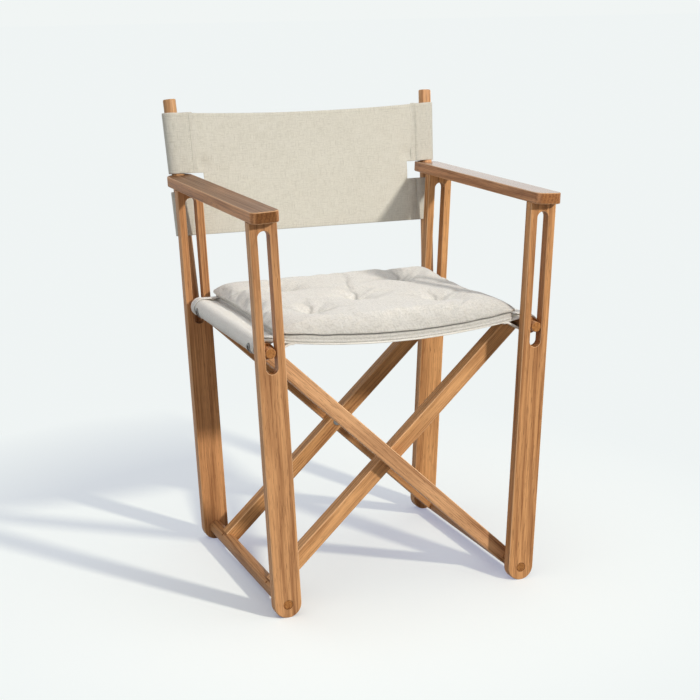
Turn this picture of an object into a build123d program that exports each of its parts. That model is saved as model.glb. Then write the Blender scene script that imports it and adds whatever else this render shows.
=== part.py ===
from build123d import *
import os
from math import cos, radians, sin, sqrt, tan

os.makedirs("parts", exist_ok=True)

# Driving dimensions in millimetres. The front faces -Y, Z is up from the floor,
# and left and right are as seen from the front, with right at +X.

# Side frames: two slotted legs, an armrest and a back post on each side
LEG_W = 45.0
LEG_T = 18.0
LEG_SPAN = 386.0
ARM_RISE = 201.23
LEG_EASE = 2.0
FOOT_FLAT = 0.8
SLOT_W = 19.2
SLOT_BELOW = 32.77
SLOT_ROOF = 14.0
SLOT_EASE = 1.2
ARM_W = 45.0
ARM_T = 18.0
ARM_FRONT = 21.0
ARM_REAR = 58.0
ARM_FRONT_R = 13.0
ARM_REAR_OUTER_R = 20.0
ARM_REAR_INNER_R = 12.0
ARM_EASE = 2.0
POST_D = 22.0
POST_LEAN = 8.7
POST_BELOW_ARM = 285.0
POST_FOOT_BACK = 3.5
POST_ABOVE_ARM = 146.5
POST_EASE = 2.0

# Cross frames: square bars between turned rails
LOW_HALF = 205.5
SEAT_HALF = 226.0
SEAT_Z = 430.0
RAIL_D = 24.0
RAIL_PLAY = 0.5
LOW_TENON_D = 16.0
SLOT_PLAY = 1.3
TENON_RECESS = 0.5
TENON_EASE = 1.0
SLOT_BIAS = 0.95
BAR_W = 25.0
BAR_T = 25.0
BAR_EASE = 2.0
BAR_SETBACK = 6.0
INNER_MID = 119.0
BAR_TENON_D = 12.0
BAR_TENON_PAST = 8.0
RUN_FIT = 0.08

# Fasteners
DOWEL_D = 8.0
DOWEL_IN_LEG = 26.0
DOWEL_IN_ARM = 12.0
SCREW_D = 4.5
SCREW_HEAD_D = 8.5
SCREW_HEAD_T = 3.0
SCREW_RECESS = 3.5
SCREW_HEAD_ROOM = 0.3
SCREW_BITE = 13.0
ARM_SCREW_BITE = 20.0
LOW_SCREW_UP = 12.0
SCREW_PITCH = 21.0
PEG_D = 5.0
PIVOT_D = 8.0
PIVOT_BITE = 18.0
PIVOT_HEAD_D = 15.0
PIVOT_HEAD_T = 4.0
PIVOT_ROOM = 0.5
WASHER_D = 20.0
WASHER_T = 1.5
WASHER_PLAY = 0.1

# Cloth and cushion
CLOTH_T = 2.0
SLEEVE_GAP = 1.3
SLEEVE_LENGTH = 356.0
SLIT_ROOM = 0.8
SEAT_SAG = 17.0
EYELET_D = 17.0
EYELET_HOLE_D = 11.0
EYELET_T = 1.2
EYELET_Y = 140.0
EYELET_DROP = 15.0
CLOTH_CLEAR = 0.4
CUSHION_W = 386.0
CUSHION_D = 360.0
CUSHION_T = 45.7
CUSHION_CORNER_R = 28.0
CUSHION_EDGE_R = 12.0
STRAP_W = 14.0
STRAP_T = 1.4
STRAP_Y = 160.0
STRAP_WRAP = 110.0
BACK_BELOW_ARM = 87.0
BACK_ABOVE_ARM = 123.5
BACK_CLOTH_T = 1.6
BACK_SLEEVE_GAP = 0.6
NOTCH_HALF = 191.0
NOTCH_BELOW = 11.0
NOTCH_ABOVE = 1.5

# Worked-out places
LOW_Z = LEG_W / 2 - FOOT_FLAT
SIDE_RISE = SEAT_Z - LOW_Z
SIDE_RUN = SEAT_HALF - SLOT_BIAS - LOW_HALF
UP = Vector(-SIDE_RUN, 0, SIDE_RISE).normalized()
INWARD = Vector(UP.Z, 0, -UP.X)
SEAT_UP = sqrt(SIDE_RISE**2 + SIDE_RUN**2)
LEG_TOP = SEAT_UP + ARM_RISE
SLOT_LOW = SEAT_UP - SLOT_BELOW
SLOT_HIGH = LEG_TOP - SLOT_ROOF
SEAT_TENON_D = SLOT_W - 2 * SLOT_PLAY
OUTER_MID = INNER_MID + BAR_T + WASHER_T + 2 * WASHER_PLAY
CROSS_Z = LOW_Z + SIDE_RISE * LOW_HALF / (LOW_HALF + SEAT_HALF)
LEAN_BACK = radians(POST_LEAN)
POST_DIR = UP * cos(LEAN_BACK) + Vector(0, sin(LEAN_BACK), 0)
POST_FOOT = LEG_TOP - POST_BELOW_ARM
POST_RISE = POST_BELOW_ARM + POST_ABOVE_ARM
BACK_LOW = LEG_TOP - BACK_BELOW_ARM
BACK_HIGH = LEG_TOP + BACK_ABOVE_ARM
REAR_OF_MID = LEG_SPAN / 2 + LEG_T / 2
POST_SWELL = (POST_D / 2 - POST_EASE) * cos(LEAN_BACK) + POST_EASE * (1 - sin(LEAN_BACK))
POST_REACH = REAR_OF_MID + POST_FOOT_BACK + POST_RISE * tan(LEAN_BACK) + POST_SWELL
FRONT_REACH = REAR_OF_MID + ARM_FRONT
LEG_MID_Y = (FRONT_REACH - POST_REACH) / 2
FRONT_FACE_Y = LEG_MID_Y - REAR_OF_MID
REAR_FACE_Y = LEG_MID_Y + REAR_OF_MID
RAIL_HALF = LEG_SPAN / 2 - LEG_T / 2 - RAIL_PLAY
TENON_HALF = REAR_OF_MID - TENON_RECESS
SLEEVE_IN_R = RAIL_D / 2 + SLEEVE_GAP
SLEEVE_R = SLEEVE_IN_R + CLOTH_T
LEFT_SEAT = Vector(-SEAT_HALF, 0, SEAT_Z)
RIGHT_SEAT = Vector(SEAT_HALF, 0, SEAT_Z)
LEFT_LOW = Vector(-LOW_HALF, 0, LOW_Z)
RIGHT_LOW = Vector(LOW_HALF, 0, LOW_Z)
ALONG_Y = (-90, 0, 0)
FROM_START = (Align.CENTER, Align.CENTER, Align.MIN)


def save(builder, label):
    builder.part.label = label
    export_step(builder.part, f"parts/{label}.step")


def side_point(along, y):
    """Point on the left side frame's middle line, measured up from the lower pivot."""
    return LEFT_LOW + UP * along + Vector(0, y, 0)


def post_y(along):
    """Y of the post's axis at a height measured along the leg."""
    return REAR_FACE_Y + POST_FOOT_BACK + (along - POST_FOOT) * tan(LEAN_BACK)


def post_plane(along):
    return Plane(origin=side_point(along, post_y(along)), x_dir=INWARD, z_dir=POST_DIR)


def rod(point, diameter, length, mode=Mode.ADD):
    """Cylinder that runs from a point towards +Y, in the part that is open."""
    with Locations(point):
        Cylinder(diameter / 2, length, rotation=ALONG_Y, align=FROM_START, mode=mode)


def screw_places():
    """Height, seat of the head and tip of each screw through the post, as Y values."""
    bites = {
        POST_FOOT + LOW_SCREW_UP: REAR_FACE_Y - SCREW_BITE,
        POST_FOOT + LOW_SCREW_UP + SCREW_PITCH: REAR_FACE_Y - SCREW_BITE,
        LEG_TOP + ARM_T / 2: post_y(LEG_TOP + ARM_T / 2) - POST_D / 2 - ARM_SCREW_BITE,
    }
    for along, tip in bites.items():
        seat = post_y(along) + POST_D / 2 / cos(LEAN_BACK) - SCREW_RECESS
        yield along, seat, tip


def drill_screws():
    """Cut the shank holes of all the post's screws from the part that is open."""
    for along, seat, tip in screw_places():
        rod(side_point(along, tip), SCREW_D, seat - tip, Mode.SUBTRACT)


ARM_PLANE = Plane(origin=side_point(LEG_TOP, 0), x_dir=INWARD, z_dir=UP)
DOWEL_X = (LEG_W + SLOT_W) / 4
DOWEL_SPOTS = [(x, LEG_MID_Y + y) for x in (-DOWEL_X, DOWEL_X) for y in (-LEG_SPAN / 2, LEG_SPAN / 2)]


def leg(face_y):
    """Slotted board with a round foot, its front face at face_y."""
    front = Plane(origin=side_point(0, face_y), x_dir=INWARD, z_dir=(0, -1, 0))
    with BuildPart() as board:
        with BuildSketch(front):
            Circle(LEG_W / 2)
            with Locations((0, LEG_TOP / 2)):
                Rectangle(LEG_W, LEG_TOP)
            with Locations((0, (SLOT_LOW + SLOT_HIGH) / 2)):
                SlotOverall(SLOT_HIGH - SLOT_LOW, SLOT_W, rotation=90, mode=Mode.SUBTRACT)
        extrude(amount=-LEG_T)
        flats = board.faces().filter_by(Axis.Y)
        rims = ShapeList()
        for flat in flats:
            rims += flat.outer_wire().edges()
        top_edge = side_point(LEG_TOP, 0).dot(UP) - LEG_EASE
        fillet([rim for rim in rims if rim.center().dot(UP) < top_edge], LEG_EASE)
        mouths = ShapeList()
        for flat in board.faces().filter_by(Axis.Y):
            mouths += flat.inner_wires()[0].edges()
        fillet(mouths, SLOT_EASE)
        hole = side_point(0, face_y)
        rod(hole, LOW_TENON_D + 2 * RUN_FIT, LEG_T, Mode.SUBTRACT)
        with BuildSketch(ARM_PLANE):
            with Locations(*DOWEL_SPOTS):
                Circle(DOWEL_D / 2)
        extrude(amount=-DOWEL_IN_LEG, mode=Mode.SUBTRACT)
        drill_screws()
        split(bisect_by=Plane.XY, keep=Keep.TOP)
    return board


leg_front_left = leg(FRONT_FACE_Y)
leg_rear_left = leg(REAR_FACE_Y - LEG_T)

# Armrest: a flat board with rounded corners, notched at its rear end round the post
with BuildPart() as armrest_left:
    with BuildSketch(ARM_PLANE) as outline:
        arm_start = FRONT_FACE_Y - ARM_FRONT
        arm_end = REAR_FACE_Y + ARM_REAR
        with Locations((0, (arm_start + arm_end) / 2)):
            Rectangle(ARM_W, arm_end - arm_start)
        fillet(outline.vertices().sort_by(Axis.Y)[:2], ARM_FRONT_R)
        fillet(outline.vertices().group_by(Axis.Y)[-1].sort_by(Axis.X)[0], ARM_REAR_OUTER_R)
        fillet(outline.vertices().group_by(Axis.Y)[-1].sort_by(Axis.X)[-1], ARM_REAR_INNER_R)
    extrude(amount=ARM_T)
    board_faces = armrest_left.faces().filter_by(lambda face: abs(face.normal_at().dot(UP)) > 0.99)
    arm_rims = ShapeList()
    for board_face in board_faces:
        arm_rims += board_face.outer_wire().edges()
    fillet(arm_rims, ARM_EASE)
    with BuildSketch(post_plane(LEG_TOP + ARM_T / 2)):
        Circle(POST_D / 2)
        with Locations((0, POST_D)):
            Rectangle(POST_D, 2 * POST_D)
    extrude(amount=2 * ARM_T, both=True, mode=Mode.SUBTRACT)
    with BuildSketch(ARM_PLANE):
        with Locations(*DOWEL_SPOTS):
            Circle(DOWEL_D / 2)
    extrude(amount=DOWEL_IN_ARM, mode=Mode.SUBTRACT)
    drill_screws()

# Dowels between the armrest and the tops of both legs
with BuildPart() as armrest_dowels_left:
    with BuildSketch(ARM_PLANE.offset(-DOWEL_IN_LEG)):
        with Locations(*DOWEL_SPOTS):
            Circle(DOWEL_D / 2)
    extrude(amount=DOWEL_IN_LEG + DOWEL_IN_ARM)

# Back post: a round rod that leans back, flattened where it is screwed to the rear leg
with BuildPart() as back_post_left:
    with BuildSketch(post_plane(POST_FOOT)):
        Circle(POST_D / 2)
    extrude(amount=POST_RISE / cos(LEAN_BACK))
    fillet(back_post_left.edges().sort_by(Axis.Z)[-1], POST_EASE)
    split(bisect_by=Plane(origin=(0, REAR_FACE_Y, 0), z_dir=(0, 1, 0)), keep=Keep.TOP)
    drill_screws()
    for screw_up, head_seat, screw_tip in screw_places():
        recess = SCREW_HEAD_D + 2 * SCREW_HEAD_ROOM
        rod(side_point(screw_up, head_seat), recess, POST_D, Mode.SUBTRACT)

# Wood screws through the post into the rear leg and into the armrest
with BuildPart() as post_screws_left:
    for screw_up, head_seat, screw_tip in screw_places():
        rod(side_point(screw_up, screw_tip), SCREW_D, head_seat - screw_tip)
        rod(side_point(screw_up, head_seat), SCREW_HEAD_D, SCREW_HEAD_T)

side_pieces = {
    "leg_front": leg_front_left,
    "leg_rear": leg_rear_left,
    "armrest": armrest_left,
    "armrest_dowels": armrest_dowels_left,
    "back_post": back_post_left,
    "post_screws": post_screws_left,
}
for piece_name, left_piece in side_pieces.items():
    save(left_piece, f"{piece_name}_left")
    with BuildPart() as right_piece:
        mirror(left_piece.part, about=Plane.YZ)
    save(right_piece, f"{piece_name}_right")


def bar_direction(upper, lower):
    return (lower - upper).normalized()


def peg_plane(rail_axis, mid, along):
    """Plane at a bar's tenon, facing across the bar and square to the rail."""
    return Plane(origin=rail_axis + Vector(0, mid, 0), z_dir=along.cross(Vector(0, 1, 0)))


def tenon_plane(rail_axis, mid, inwards):
    """Plane at the blind end of a bar's tenon, facing back along the bar."""
    tip = rail_axis + Vector(0, mid, 0) - inwards * BAR_TENON_PAST
    return Plane(origin=tip, x_dir=(0, 1, 0), z_dir=inwards)


def cross_bar(upper, lower, mid, pivot_cut):
    """Square bar with saddles and round tenons for the rails at its two ends."""
    along = bar_direction(upper, lower)
    length = (lower - upper).length
    centre = (upper + lower) / 2 + Vector(0, mid, 0)
    with BuildPart() as bar:
        with BuildSketch(Plane(origin=centre, x_dir=along, z_dir=(0, -1, 0))):
            Rectangle(length - 2 * BAR_SETBACK, BAR_W)
        extrude(amount=BAR_T / 2, both=True)
        fillet(bar.edges().filter_by(Axis(centre, along)), BAR_EASE)
        for rail_axis, inwards in ((upper, along), (lower, along * -1)):
            rod(rail_axis + Vector(0, mid - BAR_T, 0), RAIL_D, 2 * BAR_T, Mode.SUBTRACT)
            with BuildSketch(tenon_plane(rail_axis, mid, inwards)):
                Circle(BAR_TENON_D / 2)
            extrude(amount=BAR_TENON_PAST + RAIL_D)
            with BuildSketch(peg_plane(rail_axis, mid, along)):
                Circle(PEG_D / 2)
            extrude(amount=RAIL_D / 2, both=True, mode=Mode.SUBTRACT)
        pivot_cut(mid)
    return bar


def rail(axis, tenon_d, mids, upper, lower):
    """Turned rail with a tenon at each end and a mortise and peg hole for each bar."""
    inwards = bar_direction(upper, lower)
    if (axis - lower).length < (axis - upper).length:
        inwards = inwards * -1
    with BuildPart() as turned:
        rod(axis + Vector(0, LEG_MID_Y - TENON_HALF, 0), tenon_d, 2 * TENON_HALF)
        rims = turned.edges().filter_by(GeomType.CIRCLE)
        chamfer(rims, TENON_EASE)
        rod(axis + Vector(0, LEG_MID_Y - RAIL_HALF, 0), RAIL_D, 2 * RAIL_HALF)
        for mid in mids:
            with BuildSketch(tenon_plane(axis, mid, inwards)):
                Circle(BAR_TENON_D / 2)
            extrude(amount=BAR_TENON_PAST + RAIL_D, mode=Mode.SUBTRACT)
            with BuildSketch(peg_plane(axis, mid, inwards)):
                Circle(PEG_D / 2)
            extrude(amount=RAIL_D, both=True, mode=Mode.SUBTRACT)
    return turned


def pegs(upper, lower, mids):
    """Wooden pegs through the rails and the bars' tenons."""
    with BuildPart() as group:
        for axis in (upper, lower):
            for mid in mids:
                with BuildSketch(peg_plane(axis, mid, bar_direction(upper, lower))):
                    Circle(PEG_D / 2)
                extrude(amount=sqrt((RAIL_D / 2) ** 2 - (PEG_D / 2) ** 2), both=True)
    return group


# Pivot bolts run from a sunk head on the inner bar's inside face into the outer bar
CROSS = Vector(0, 0, CROSS_Z)
OUTER_MIDS = (LEG_MID_Y - OUTER_MID, LEG_MID_Y + OUTER_MID)
INNER_MIDS = (LEG_MID_Y - INNER_MID, LEG_MID_Y + INNER_MID)


def towards_outside(mid):
    return -1 if mid < LEG_MID_Y else 1


def pivot_rod(start_y, end_y, diameter, mode=Mode.ADD):
    """Cylinder on the pivot's axis between two Y values, in the part that is open."""
    rod(CROSS + Vector(0, min(start_y, end_y), 0), diameter, abs(end_y - start_y), mode)


def cut_outer_pivot(mid):
    out = towards_outside(mid)
    inside_face = mid - out * BAR_T / 2
    pivot_rod(inside_face, inside_face + out * PIVOT_BITE, PIVOT_D, Mode.SUBTRACT)


def cut_inner_pivot(mid):
    out = towards_outside(mid)
    inside_face = mid - out * BAR_T / 2
    head_seat = inside_face + out * (PIVOT_HEAD_T + PIVOT_ROOM)
    pivot_rod(inside_face, mid + out * BAR_T / 2, PIVOT_D + 2 * RUN_FIT, Mode.SUBTRACT)
    pivot_rod(inside_face, head_seat, PIVOT_HEAD_D + 2 * PIVOT_ROOM, Mode.SUBTRACT)


with BuildPart() as pivot_bolts:
    for inner_mid, outer_mid in zip(INNER_MIDS, OUTER_MIDS):
        outwards = towards_outside(inner_mid)
        head_start = inner_mid - outwards * (BAR_T / 2 - PIVOT_ROOM / 2)
        head_end = head_start + outwards * PIVOT_HEAD_T
        bolt_tip = outer_mid - outwards * (BAR_T / 2 - PIVOT_BITE)
        pivot_rod(head_start, head_end, PIVOT_HEAD_D)
        pivot_rod(head_end, bolt_tip, PIVOT_D)
save(pivot_bolts, "pivot_bolts")

with BuildPart() as pivot_washers:
    for outer_mid in OUTER_MIDS:
        outwards = towards_outside(outer_mid)
        washer_start = outer_mid - outwards * (BAR_T / 2 + WASHER_PLAY)
        pivot_rod(washer_start, washer_start - outwards * WASHER_T, WASHER_D)
        pivot_rod(washer_start, washer_start - outwards * WASHER_T, PIVOT_D + 2 * RUN_FIT, Mode.SUBTRACT)
save(pivot_washers, "pivot_washers")

# Outer frame: left seat rail to right lower rail; inner frame: right seat rail to left lower rail
frames = {
    "outer": (LEFT_SEAT, RIGHT_LOW, OUTER_MIDS, cut_outer_pivot, "seat_rail_left", "lower_rail_right"),
    "inner": (RIGHT_SEAT, LEFT_LOW, INNER_MIDS, cut_inner_pivot, "seat_rail_right", "lower_rail_left"),
}
for frame_name, (seat_end, low_end, bar_mids, cut_pivot, seat_rail, low_rail) in frames.items():
    save(cross_bar(seat_end, low_end, bar_mids[0], cut_pivot), f"cross_bar_front_{frame_name}")
    save(cross_bar(seat_end, low_end, bar_mids[1], cut_pivot), f"cross_bar_rear_{frame_name}")
    save(rail(seat_end, SEAT_TENON_D, bar_mids, seat_end, low_end), seat_rail)
    save(rail(low_end, LOW_TENON_D, bar_mids, seat_end, low_end), low_rail)
    save(pegs(seat_end, low_end, bar_mids), f"tenon_pegs_{frame_name}")

# Seat sling: a sagging sheet with a sleeve round each seat rail, slit for the bars
SLING_TOP = SEAT_Z + SLEEVE_R
SEAT_FRONT = Plane(origin=(0, LEG_MID_Y, 0), x_dir=(1, 0, 0), z_dir=(0, -1, 0))


def cut_bar_slits():
    for seat_end, low_end, bar_mids, cut_pivot, seat_rail, low_rail in frames.values():
        along = bar_direction(seat_end, low_end)
        for mid in bar_mids:
            start = seat_end + Vector(0, mid, 0)
            with BuildSketch(Plane(origin=start, x_dir=(0, 1, 0), z_dir=along)) as slit:
                Rectangle(BAR_T + 2 * SLIT_ROOM, BAR_W + 2 * SLIT_ROOM)
            extrude(slit.sketch, amount=2 * SLEEVE_R, mode=Mode.SUBTRACT)


def eyelet_places(side):
    """Planes at the eyelets of one sleeve, facing outwards and a little down."""
    drop = radians(EYELET_DROP)
    out = Vector(side * cos(drop), 0, -sin(drop))
    for y in (LEG_MID_Y - EYELET_Y, LEG_MID_Y + EYELET_Y):
        yield Plane(origin=(side * SEAT_HALF, y, SEAT_Z), x_dir=(0, 1, 0), z_dir=out)


with BuildPart() as seat_sling:
    with BuildSketch(SEAT_FRONT):
        with BuildLine():
            Polyline((-SEAT_HALF, SLING_TOP), (-SEAT_HALF, SLING_TOP - CLOTH_T))
            ThreePointArc(
                (-SEAT_HALF, SLING_TOP - CLOTH_T),
                (0, SLING_TOP - SEAT_SAG - CLOTH_T),
                (SEAT_HALF, SLING_TOP - CLOTH_T),
            )
            Polyline((SEAT_HALF, SLING_TOP - CLOTH_T), (SEAT_HALF, SLING_TOP))
            ThreePointArc((SEAT_HALF, SLING_TOP), (0, SLING_TOP - SEAT_SAG), (-SEAT_HALF, SLING_TOP))
        make_face()
        with Locations((-SEAT_HALF, SEAT_Z), (SEAT_HALF, SEAT_Z)):
            Circle(SLEEVE_R)
            Circle(SLEEVE_IN_R, mode=Mode.SUBTRACT)
    extrude(amount=SLEEVE_LENGTH / 2, both=True)
    cut_bar_slits()
    for place in (*eyelet_places(-1), *eyelet_places(1)):
        with BuildSketch(place):
            Circle(EYELET_HOLE_D / 2)
        extrude(amount=2 * SLEEVE_R, mode=Mode.SUBTRACT)
save(seat_sling, "seat_sling")

# Eyelets: thin curved rings on the outer side of each sleeve
for side_name, side in (("left", -1), ("right", 1)):
    with BuildPart() as eyelets:
        for place in eyelet_places(side):
            with BuildSketch(place):
                Circle(EYELET_D / 2)
                Circle(EYELET_HOLE_D / 2, mode=Mode.SUBTRACT)
            extrude(amount=2 * SLEEVE_R)
        shell_start = Vector(side * SEAT_HALF, LEG_MID_Y - SLEEVE_LENGTH / 2, SEAT_Z)
        rod(shell_start, 2 * (SLEEVE_R + EYELET_T), SLEEVE_LENGTH, Mode.INTERSECT)
        rod(shell_start, 2 * SLEEVE_R, SLEEVE_LENGTH, Mode.SUBTRACT)
    save(eyelets, f"eyelets_{side_name}")

# Seat cushion: a rounded pad that follows the sling's sag
SAG_R = (SEAT_HALF**2 + SEAT_SAG**2) / (2 * SEAT_SAG)
with BuildPart() as seat_cushion:
    with BuildSketch(Plane.XY.offset(SLING_TOP - SEAT_SAG)):
        with Locations((0, LEG_MID_Y)):
            RectangleRounded(CUSHION_W, CUSHION_D, CUSHION_CORNER_R)
    extrude(amount=CUSHION_T)
    fillet(seat_cushion.faces().sort_by(Axis.Z)[-1].edges(), CUSHION_EDGE_R)
    sag_centre = Vector(0, LEG_MID_Y - CUSHION_D, SLING_TOP - SEAT_SAG + SAG_R)
    rod(sag_centre, 2 * (SAG_R - CLOTH_CLEAR), 2 * CUSHION_D, Mode.INTERSECT)
save(seat_cushion, "seat_cushion")

# Straps from the cushion's corners over the sleeves
with BuildPart() as cushion_straps:
    for strap_y in (LEG_MID_Y - STRAP_Y, LEG_MID_Y + STRAP_Y):
        with BuildSketch(Plane(origin=(0, strap_y, 0), x_dir=(1, 0, 0), z_dir=(0, -1, 0))):
            strap_r = SLEEVE_R + CLOTH_CLEAR + STRAP_T / 2
            for side, turn in ((-1, 1), (1, -1)):
                with BuildLine():
                    top = (side * SEAT_HALF, SEAT_Z + strap_r)
                    Line((side * (CUSHION_W / 2 + STRAP_T), SEAT_Z + strap_r), top)
                    CenterArc((side * SEAT_HALF, SEAT_Z), strap_r, 90, turn * STRAP_WRAP)
                    offset(amount=STRAP_T / 2)
                make_face()
        extrude(amount=STRAP_W / 2, both=True)
save(cushion_straps, "cushion_straps")

# Back sling: a flat sheet with a sleeve round each post, notched at the armrests
BACK_SLEEVE_IN_R = POST_D / 2 + BACK_SLEEVE_GAP
BACK_SLEEVE_R = BACK_SLEEVE_IN_R + BACK_CLOTH_T
BACK_UP = Vector(0, POST_DIR.Y, POST_DIR.Z).normalized()
BACK_START = side_point(BACK_LOW, post_y(BACK_LOW))
BACK_PLANE = Plane(
    origin=(0, BACK_START.Y, BACK_START.Z),
    x_dir=(1, 0, 0),
    z_dir=Vector(1, 0, 0).cross(BACK_UP),
)


def on_back(along):
    """Half width between the posts and height up the back's plane."""
    point = side_point(along, post_y(along))
    return -point.X, BACK_UP.dot(point - BACK_START)


with BuildPart() as back_sling:
    low_half, low_up = on_back(BACK_LOW)
    high_half, high_up = on_back(BACK_HIGH)
    with BuildSketch(BACK_PLANE.offset(BACK_SLEEVE_R - BACK_CLOTH_T)):
        corners = [(-low_half, low_up), (low_half, low_up), (high_half, high_up), (-high_half, high_up)]
        Polygon(*corners, align=None)
    extrude(amount=BACK_CLOTH_T)
    with BuildSketch(post_plane(BACK_LOW)):
        Circle(BACK_SLEEVE_R)
    extrude(amount=(BACK_HIGH - BACK_LOW) / cos(LEAN_BACK))
    mirror(about=Plane.YZ)
    with BuildSketch(post_plane(BACK_LOW - POST_D)):
        Circle(BACK_SLEEVE_IN_R)
    post_way = extrude(amount=(BACK_HIGH - BACK_LOW + 2 * POST_D) / cos(LEAN_BACK), mode=Mode.PRIVATE)
    add(post_way, mode=Mode.SUBTRACT)
    mirror(post_way, about=Plane.YZ, mode=Mode.SUBTRACT)
    notch_low = on_back(LEG_TOP - NOTCH_BELOW)[1]
    notch_high = on_back(LEG_TOP + ARM_T + NOTCH_ABOVE)[1]
    with BuildSketch(BACK_PLANE):
        for notch_side in (-1, 1):
            with Locations((notch_side * (NOTCH_HALF + ARM_W), (notch_low + notch_high) / 2)):
                Rectangle(2 * ARM_W, notch_high - notch_low)
    extrude(amount=2 * POST_D, both=True, mode=Mode.SUBTRACT)
save(back_sling, "back_sling")
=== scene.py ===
import math

import bmesh
import bpy
from mathutils import Matrix, Vector, noise


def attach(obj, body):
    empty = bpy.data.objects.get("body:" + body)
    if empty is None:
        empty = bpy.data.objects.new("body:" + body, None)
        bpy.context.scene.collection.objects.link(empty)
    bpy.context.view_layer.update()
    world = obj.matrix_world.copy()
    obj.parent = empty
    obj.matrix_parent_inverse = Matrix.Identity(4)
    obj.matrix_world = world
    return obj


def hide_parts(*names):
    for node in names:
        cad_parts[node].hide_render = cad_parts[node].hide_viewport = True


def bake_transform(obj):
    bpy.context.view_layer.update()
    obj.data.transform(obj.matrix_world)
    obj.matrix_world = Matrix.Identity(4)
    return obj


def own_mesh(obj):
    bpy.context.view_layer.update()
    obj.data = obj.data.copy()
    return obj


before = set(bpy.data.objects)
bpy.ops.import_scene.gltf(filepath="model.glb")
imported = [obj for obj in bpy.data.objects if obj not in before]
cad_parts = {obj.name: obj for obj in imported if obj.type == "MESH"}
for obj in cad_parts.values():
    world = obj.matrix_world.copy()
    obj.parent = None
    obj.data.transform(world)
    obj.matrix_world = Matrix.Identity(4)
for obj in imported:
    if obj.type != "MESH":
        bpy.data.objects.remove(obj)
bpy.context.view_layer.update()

# Places on the frame, in metres, the same as in the part
LEG_MID_Y = -0.02956
LOW_HALF = 0.2055
LOW_Z = 0.0217
SEAT_HALF = 0.226
SEAT_Z = 0.43
SIDE_LEAN = math.radians(2.7413)
POST_LEAN = math.radians(8.7)
POST_FOOT = 0.325
POST_FOOT_Y = 0.17594

# Directions that the grain follows, or that broad faces look in
UP_LEFT = Vector((-math.sin(SIDE_LEAN), 0, math.cos(SIDE_LEAN)))
UP_RIGHT = Vector((math.sin(SIDE_LEAN), 0, math.cos(SIDE_LEAN)))
LEAN_BACK = Vector((0, math.tan(POST_LEAN), 0))
POST_LEFT = (UP_LEFT + LEAN_BACK).normalized()
POST_RIGHT = (UP_RIGHT + LEAN_BACK).normalized()
SIDEWAYS = Vector((1, 0, 0))
REARWARD = Vector((0, 1, 0))
UPWARD = Vector((0, 0, 1))
OUTER_BAR = Vector((LOW_HALF + SEAT_HALF, 0, LOW_Z - SEAT_Z)).normalized()
INNER_BAR = Vector((LOW_HALF + SEAT_HALF, 0, SEAT_Z - LOW_Z)).normalized()

# Camera, found from the photograph
CAMERA_AT = (-0.95527, -2.38939, 0.98527)
CAMERA_YAW = math.radians(-21.672)
CAMERA_PITCH = math.radians(-13.6)
CAMERA_ROLL = math.radians(-0.464)
CAMERA_LENS = 79.95
CAMERA_SENSOR = 36.0

# Light: a lamp at the front right, and a sky that is brighter overhead and at the left
LAMP_AT = (1.19, -2.39, 1.82)
LAMP_STRENGTH = 2.4
LAMP_COLOUR = (1.0, 0.95, 0.87)
LAMP_R = 0.10
SKY_LOW = 0.27
SKY_HIGH = 0.98
SKY_LEFT = 0.36
SKY_COLOUR = (0.97, 0.99, 1.02)
BACKDROP = (0.879, 0.913, 0.905)

# Floor: paint takes the shadows and glow fills them, with less paint further from the chair
FLOOR_HALF = 30
FLOOR_PAINT = (0.62, 0.64, 0.53)
FLOOR_BOUNCE = (0.30, 0.30, 0.29)
FLOOR_GLOW = (0.247, 0.265, 0.372)
SHADOW_MIDDLE = (-0.08, 0.12, 0.0)
SHADOW_FADE = 0.50
SHADOW_END = 0.92
DEEP_SHADOW_AT = (-0.33, -0.27, 0.0)
DEEP_SHADOW_REACH = 0.48
DEEP_SHADOW = (0.22, 0.235, 0.30)


def feed(tree, made, inputs):
    """Give a node its inputs, which are values or other nodes' sockets."""
    for name, value in inputs.items():
        if isinstance(value, bpy.types.NodeSocket):
            tree.links.new(value, made.inputs[name])
        else:
            made.inputs[name].default_value = value


def node(tree, kind, inputs=None, **settings):
    """New shader node with its settings and its inputs."""
    made = tree.nodes.new(kind)
    for name, value in settings.items():
        setattr(made, name, value)
    feed(tree, made, inputs or {})
    return made


def math_node(tree, operation, first, second=0.0, third=0.0):
    return node(tree, "ShaderNodeMath", {0: first, 1: second, 2: third}, operation=operation).outputs[0]


def vector_node(tree, operation, first, second=(0, 0, 0)):
    return node(tree, "ShaderNodeVectorMath", {0: first, 1: second}, operation=operation)


def span(tree, value, low, high, to_low=0.0, to_high=1.0):
    """Value mapped from one range to another and held at its ends."""
    inputs = {"Value": value, "From Min": low, "From Max": high, "To Min": to_low, "To Max": to_high}
    return node(tree, "ShaderNodeMapRange", inputs).outputs["Result"]


def speckle(tree, place, stretch, detail, rough):
    """Noise at a place, with its cycles per metre along each axis."""
    vector = vector_node(tree, "MULTIPLY", place, stretch).outputs[0]
    inputs = {"Vector": vector, "Scale": 1.0, "Detail": detail, "Roughness": rough}
    return node(tree, "ShaderNodeTexNoise", inputs).outputs["Fac"]


def rgba(colour):
    """Colour with full cover, where it is not a socket."""
    return (*colour, 1.0) if isinstance(colour, tuple) else colour


def mixed(tree, share, first, second, blend="MIX"):
    """Colour between two colours or colour sockets."""
    made = node(tree, "ShaderNodeMix", data_type="RGBA", blend_type=blend)
    feed(tree, made, {0: share, 6: rgba(first), 7: rgba(second)})
    return made.outputs[2]


def shaded(tree, colour, share):
    """Colour times a share that changes from place to place."""
    grey = node(tree, "ShaderNodeCombineColor", {0: share, 1: share, 2: share}).outputs[0]
    return mixed(tree, 1.0, colour, grey, "MULTIPLY")


def scaled(colour, share):
    return tuple(share * part for part in colour)


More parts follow.
